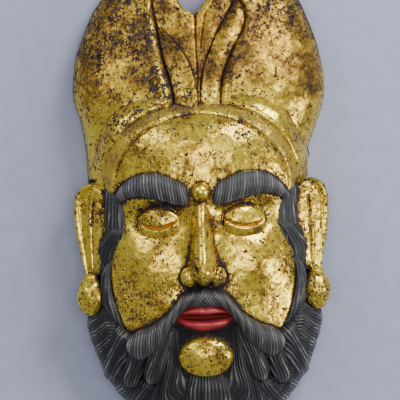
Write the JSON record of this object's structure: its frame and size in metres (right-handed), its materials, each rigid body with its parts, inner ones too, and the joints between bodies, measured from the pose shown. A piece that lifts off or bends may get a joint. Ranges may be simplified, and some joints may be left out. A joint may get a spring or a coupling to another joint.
{
  "type": "mask",
  "caption": "Carved wooden mask of a bearded head in a tall two-lobed headcloth, hollow behind the face, gilded, with black hair and beard and red lips.",
  "frame": {"origin": "middle of the flat back's outline, on the plane the mask lies on", "axes": "+X to the viewer's right, +Y up the mask towards the headcloth, +Z out of the face"},
  "size_m": [0.2554, 0.49, 0.113],
  "materials": {
    "gold_leaf": "worn gold leaf over dark ground on carved wood, satin",
    "black_paint": "black paint on carved wood, half gloss",
    "red_paint": "red paint on carved wood, half gloss",
    "bare_wood": "gouged bare wood, matt"
  },
  "bodies": {
    "root": {"mask": "gold_leaf"}
  },
  "joints": []
}
